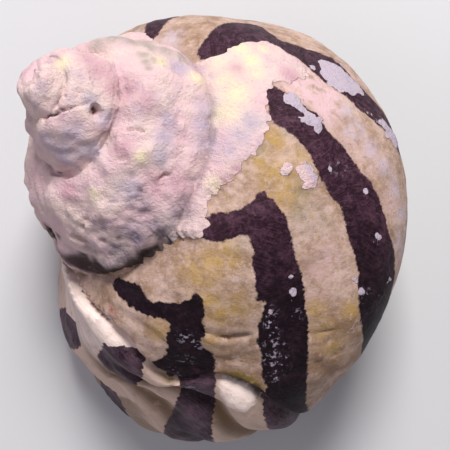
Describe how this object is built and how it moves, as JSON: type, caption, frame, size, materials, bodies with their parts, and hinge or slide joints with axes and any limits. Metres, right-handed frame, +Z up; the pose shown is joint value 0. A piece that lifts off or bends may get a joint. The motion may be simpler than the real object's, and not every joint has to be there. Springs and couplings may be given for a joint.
{
  "type": "magpie shell",
  "caption": "Heavy top-shaped sea snail shell with a worn crusted spire and a zigzag banded body whorl, lying on its wide mouth.",
  "frame": {"origin": "centre of the bounding box in X and Y, on the plane the mouth's rim rests on", "axes": "+Z up, away from the surface the mouth rests on; +Y towards the top of the picture and +X to its right, so the spire leans back and to the left"},
  "size_m": [0.0671, 0.0814, 0.0527],
  "materials": {
    "shell": "satin limy shell, cream with near-black bands"
  },
  "bodies": {
    "root": {"shell": "shell"}
  },
  "joints": []
}
